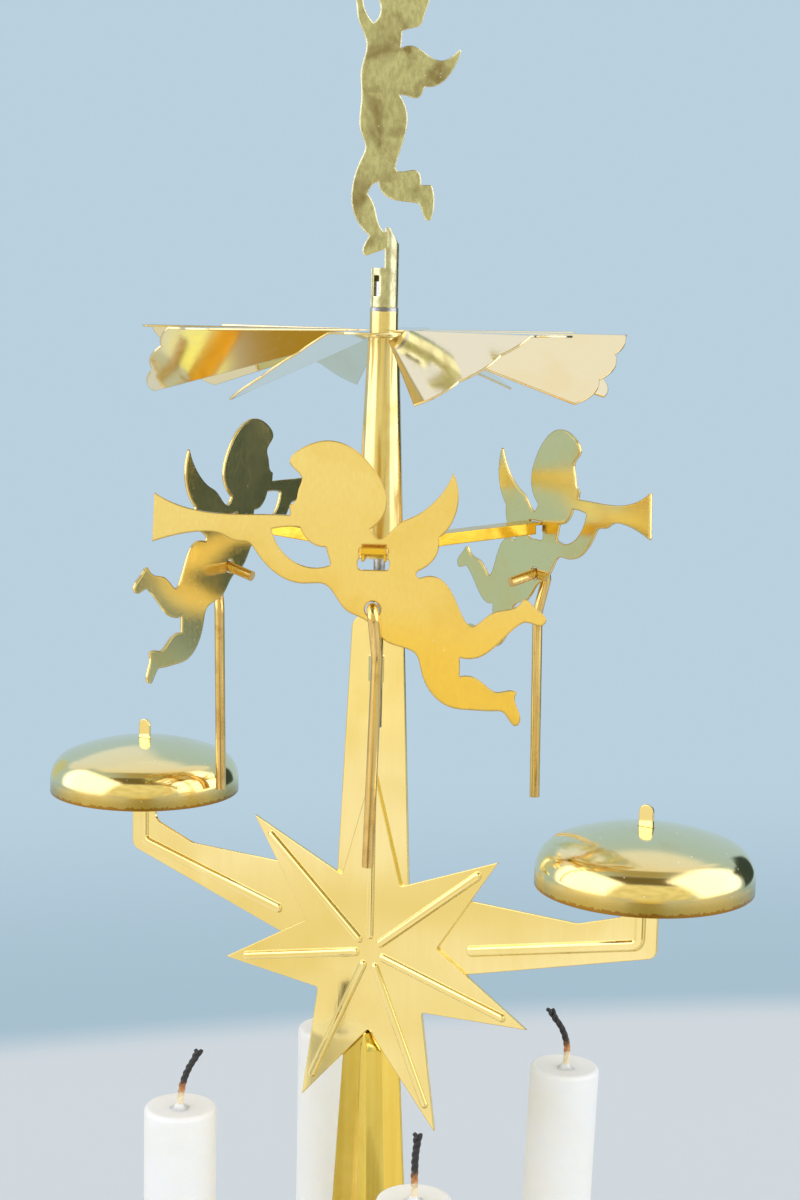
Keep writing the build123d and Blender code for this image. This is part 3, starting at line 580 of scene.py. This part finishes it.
def braidWick(tree, index):
    line = middleLine(nodes[f"wick_{index}"])
    curve = bpy.data.curves.new(f"wickLine{index}", "CURVE")
    curve.dimensions = "3D"
    spline = curve.splines.new("POLY")
    spline.points.add(len(line) - 1)
    for point, spot in zip(spline.points, line):
        point.co = (*spot, 1)
    holder = addObject(f"wickLine{index}", curve)
    modifier = holder.modifiers.new("braid", "NODES")
    modifier.node_group = tree
    modifier[socketKey(tree, "Seed")] = float(index)
    modifier[socketKey(tree, "Material")] = materials["wickChar"]
    ready = holder.evaluated_get(bpy.context.evaluated_depsgraph_get())
    mesh = bpy.data.meshes.new_from_object(ready)
    wick = addObject(f"braidedWick{index}", mesh)
    bpy.data.objects.remove(holder)
    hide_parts(f"wick_{index}")
    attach(wick, f"candle_body_{index}")


braidTree = makeBraidTree(wickShape)
for wickIndex in range(1, 5):
    braidWick(braidTree, wickIndex)
print("wicks braided")


# Wax drawn up round each wick's foot: radius and height of each ring, from the rim in
waxCollar = {
    "profile": ((0.0022, -0.0001), (0.0013, 0.00015), (0.00092, 0.0004), (0.00072, 0.0008),
                (0.00050, 0.0011)),
    "sides": 28, "waves": 3, "waveDepth": 0.12,
}


def makeWaxCollar(index):
    wick = nodes[f"wick_{index}"]
    foot, second = middleLine(wick)[:2]
    lean = (second - foot) / (second.z - foot.z)
    low = min(vertex.co.z for vertex in wick.data.vertices)
    sides, rings = waxCollar["sides"], len(waxCollar["profile"])
    points = []
    for radius, rise in waxCollar["profile"]:
        middle = foot + lean * (low + rise - foot.z)
        for side in range(sides):
            angle = 2 * math.pi * side / sides
            wave = 1 + waxCollar["waveDepth"] * math.sin(waxCollar["waves"] * angle + index)
            points.append(middle + Vector((math.cos(angle), math.sin(angle), 0)) * radius * wave)
    faces = [[ring * sides + side, ring * sides + (side + 1) % sides,
              (ring + 1) * sides + (side + 1) % sides, (ring + 1) * sides + side]
             for ring in range(rings - 1) for side in range(sides)]
    last = (rings - 1) * sides
    faces += [list(range(last, last + sides)), list(reversed(range(sides)))]
    mesh = bpy.data.meshes.new(f"waxCollar{index}")
    mesh.from_pydata(points, [], faces)
    mesh.shade_smooth()
    mesh.materials.append(materials["candleWax"])
    collar = addObject(f"waxCollar{index}", mesh)
    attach(collar, f"candle_body_{index}")


for candleIndex in range(1, 5):
    makeWaxCollar(candleIndex)
print("wax collars made")


# Pale round table before a pale backdrop; metal alone mirrors its bright and dark patches
photoSide = cameraPlace["azimuth"]
backdropColor = (0.49, 0.633, 0.742)
floorLook = {
    "color": (0.635, 0.682, 0.72), "backdropLow": (0.385, 0.53, 0.625), "azimuth": 50.5,
    "distance": 1.0, "edge": 1.318, "soft": 0.018, "fade": 0.35, "radius": 20.0, "sides": 96,
    "drop": 0.00005, "patchFull": 0.45,
    # Painted reflections: floor patches that only glossy rays see, so the metal mirrors glows,
    # shades, a warm table and a wall's foot
    "patches": {
        "leftGlow": {"azimuth": -37.0, "distance": 0.55, "reach": 0.72, "color": (1.08, 1.06, 1.06),
                     "shade": (0.91, 0.83, 0.54), "shadeScale": 5.0},
        "rightGlow": {"azimuth": 98.0, "distance": 0.44, "reach": 0.40,
                      "color": (0.90, 0.87, 0.80)},
        "wallFootReflection": {"azimuth": photoSide, "distance": 1.75, "reach": 0.55,
                     "color": (1.0, 0.93, 0.60)},
        "makerShade": {"azimuth": photoSide, "distance": 0.60, "reach": 0.25,
                       "color": (0.30, 0.25, 0.10)},
        "warmTableReflection": {"azimuth": photoSide, "distance": 1.05, "reach": 0.40,
                      "color": (1.05, 0.82, 0.18)},
        "frontGlow": {"azimuth": -27.0, "distance": 1.4, "reach": 0.8, "color": (1.18, 1.12, 0.98),
                      "shade": (1.0, 0.92, 0.62), "shadeScale": 4.0},
        "sideGlow": {"azimuth": 88.0, "distance": 1.75, "reach": 0.5, "color": (1.4, 1.3, 0.55)},
        "backShade": {"azimuth": -167.0, "distance": 0.20, "reach": 0.062,
                      "color": (0.40, 0.24, 0.02)},
        "bladeGlow": {"azimuth": -152.7, "distance": 0.17, "reach": 0.014,
                      "color": (1.1, 1.05, 0.25)}},
}
glowClouds = {"From": 0.38, "To": 0.62, "Warp": 0.2}


def onStage(azimuth, distance, height):
    turn = math.radians(azimuth)
    return Vector((math.sin(turn) * distance, -math.cos(turn) * distance, height))


def farFrom(tree, place, point):
    gap = addNode(tree, "ShaderNodeVectorMath", ((0, place), (1, point)), operation="DISTANCE")
    return gap.outputs["Value"]


def makeGlow(tree, look):
    # One colour, or two in soft clouds where a shade is given
    color = look["color"]
    if "shade" in look:
        clouds = useGroup(tree, "cloud", Scale=look["shadeScale"], **glowClouds)
        color = blendColor(tree, clouds.outputs["Mask"], color, look["shade"])
    return addNode(tree, "ShaderNodeEmission", (("Color", color),)).outputs[0]


# A painted reflection: a floor patch that the metal mirrors and the camera never sees
def paintedReflectionPatch(tree, place, patch, below):
    gap = farFrom(tree, place, onStage(patch["azimuth"], patch["distance"], 0))
    near = smoothBand(tree, gap, patch["reach"], patch["reach"] * floorLook["patchFull"])
    path = addNode(tree, "ShaderNodeLightPath")
    mask = multiply(tree, near, path.outputs["Is Glossy Ray"])
    return mixShaders(tree, mask, below, makeGlow(tree, patch))


def makeFloor(look):
    bpy.ops.mesh.primitive_circle_add(
        vertices=look["sides"], radius=look["radius"], fill_type="NGON", location=(0, 0, 0))
    floor = bpy.context.object
    floor.name = "studioFloor"
    floor.data.transform(Matrix.Translation((0, 0, -look["drop"])))
    material = bpy.data.materials.new("studioFloor")
    tree = emptyTree(material)
    place = objectPlace(tree)
    gap = farFrom(tree, place, onStage(look["azimuth"], look["distance"], 0))
    matte = addNode(tree, "ShaderNodeBsdfDiffuse", (("Color", look["color"]),))
    rise = smoothBand(tree, gap, look["edge"], look["edge"] + look["fade"])
    farColor = blendColor(tree, rise, look["backdropLow"], backdropColor)
    far = addNode(tree, "ShaderNodeEmission", (("Color", farColor),))
    beyond = smoothBand(tree, gap, look["edge"] - look["soft"], look["edge"] + look["soft"])
    surface = mixShaders(tree, beyond, matte.outputs[0], far.outputs[0])
    for patch in look["patches"].values():
        surface = paintedReflectionPatch(tree, place, patch, surface)
    addNode(tree, "ShaderNodeOutputMaterial", (("Surface", surface),))
    floor.data.materials.append(material)


makeFloor(floorLook)


# The room as the metal alone mirrors it: windows, walls and ceiling, each a soft-edged card
# that faces the object
lightTarget = Vector((0, 0, 0.17))
mirrorCards = {
    "leftWindow": {"azimuth": -42.0, "elevation": 24.0, "distance": 1.3, "size": (2.2, 1.9),
                   "soft": 0.18, "color": (2.2, 2.2, 2.3)},
    "rightWindow": {"azimuth": 112.0, "elevation": 30.0, "distance": 1.3, "size": (2.05, 2.4),
                    "soft": 0.22, "color": (2.2, 2.2, 2.3)},
    "makerWall": {"azimuth": 29.0, "elevation": 16.0, "distance": 1.7, "size": (3.9, 2.0),
                  "soft": 0.04, "color": (1.02, 0.98, 0.70), "shade": (0.80, 0.77, 0.48),
                  "shadeScale": 2.6},
    "ceilingShade": {"azimuth": 29.0, "elevation": 60.0, "distance": 1.8, "size": (2.8, 1.1),
                     "soft": 0.2, "color": (0.18, 0.15, 0.07)},
    "ceilingWarm": {"azimuth": 29.0, "elevation": 88.0, "distance": 1.9, "size": (2.1, 1.8),
                    "soft": 0.4, "color": (0.44, 0.39, 0.21)},
    "ceilingBack": {"azimuth": -150.0, "elevation": 62.0, "distance": 1.8, "size": (2.4, 1.3),
                    "soft": 0.15, "color": (0.92, 0.92, 0.92)},
    "leftWall": {"azimuth": -114.0, "elevation": 38.0, "distance": 1.5, "size": (1.3, 0.64),
                 "soft": 0.15, "color": (0.87, 0.87, 0.88)},
    "sideWall": {"azimuth": -104.0, "elevation": 8.0, "distance": 1.4, "size": (0.66, 0.90),
                 "soft": 0.2, "color": (0.62, 0.62, 0.40)},
    "darkCorner": {"azimuth": 162.0, "elevation": 8.0, "distance": 0.9, "size": (0.66, 0.66),
                   "soft": 0.12, "color": (0.042, 0.06, 0.052)},
}


def faceTarget(piece, box):
    elevation = math.radians(box["elevation"])
    away = onStage(box["azimuth"], math.cos(elevation), math.sin(elevation))
    piece.location = lightTarget + away * box["distance"]
    piece.rotation_mode = "QUATERNION"
    piece.rotation_quaternion = away.to_track_quat("Z", "Y")


def makeCard(name, card):
    wide, high = card["size"][0] / 2, card["size"][1] / 2
    corners = [(-wide, -high, 0), (wide, -high, 0), (wide, high, 0), (-wide, high, 0)]
    mesh = bpy.data.meshes.new(name)
    mesh.from_pydata(corners, [], [(0, 1, 2, 3)])
    board = addObject(name, mesh)
    faceTarget(board, card)
    material = bpy.data.materials.new(name)
    tree = emptyTree(material)
    parts = addNode(tree, "ShaderNodeSeparateXYZ", ((0, objectPlace(tree)),))
    edges = []
    for axis, reach in (("X", wide), ("Y", high)):
        gap = calculate(tree, "ABSOLUTE", parts.outputs[axis])
        edges.append(smoothBand(tree, gap, reach, reach * (1 - 2 * card["soft"])))
    clear = addNode(tree, "ShaderNodeBsdfTransparent")
    surface = mixShaders(tree, multiply(tree, *edges), clear.outputs[0], makeGlow(tree, card))
    addNode(tree, "ShaderNodeOutputMaterial", (("Surface", surface),))
    mesh.materials.append(material)
    board.visible_camera = board.visible_diffuse = board.visible_shadow = False
    board.visible_transmission = board.visible_volume_scatter = False


for cardName, card in mirrorCards.items():
    makeCard(cardName, card)


# The world: the backdrop for sight lines and reflections, an even light for the rest
worldLook = {"light": (0.97, 0.985, 1.0), "lightStrength": 0.62}


def makeWorld(look):
    world = bpy.data.worlds.new("studioWorld")
    bpy.context.scene.world = world
    tree = emptyTree(world)
    path = addNode(tree, "ShaderNodeLightPath").outputs
    seen = calculate(tree, "MAXIMUM", path["Is Camera Ray"], path["Is Glossy Ray"])
    seen = calculate(tree, "MAXIMUM", seen, path["Is Transmission Ray"])
    even = addNode(tree, "ShaderNodeBackground", (
        ("Color", look["light"]), ("Strength", look["lightStrength"])))
    backdrop = addNode(tree, "ShaderNodeBackground", (("Color", backdropColor),))
    surface = mixShaders(tree, seen, even.outputs[0], backdrop.outputs[0])
    addNode(tree, "ShaderNodeOutputWorld", (("Surface", surface),))


makeWorld(worldLook)


# Soft boxes far round the object light what isn't metal; nothing mirrors them
softBoxes = {
    "lampLeft": {"azimuth": -40.0, "elevation": 14.0, "distance": 3.3, "size": (3.85, 2.2),
                 "bright": 1.25},
    "lampRight": {"azimuth": 100.0, "elevation": 14.0, "distance": 3.3, "size": (3.6, 2.2),
                  "bright": 1.4},
    "lampFront": {"azimuth": photoSide, "elevation": 6.0, "distance": 3.3, "size": (3.6, 1.0),
                  "bright": 1.15},
    "lampAbove": {"azimuth": photoSide, "elevation": 80.0, "distance": 2.7, "size": (3.2, 3.2),
                  "bright": 0.98},
}


def makeSoftBox(name, box):
    data = bpy.data.lights.new(name, "AREA")
    data.shape = "RECTANGLE"
    data.size, data.size_y = box["size"]
    data.energy = box["bright"] * math.pi * data.size * data.size_y
    lamp = addObject(name, data)
    faceTarget(lamp, box)
    lamp.visible_glossy = False


for boxName, box in softBoxes.items():
    makeSoftBox(boxName, box)
print("stage, cards, world and", len(softBoxes), "soft boxes made")
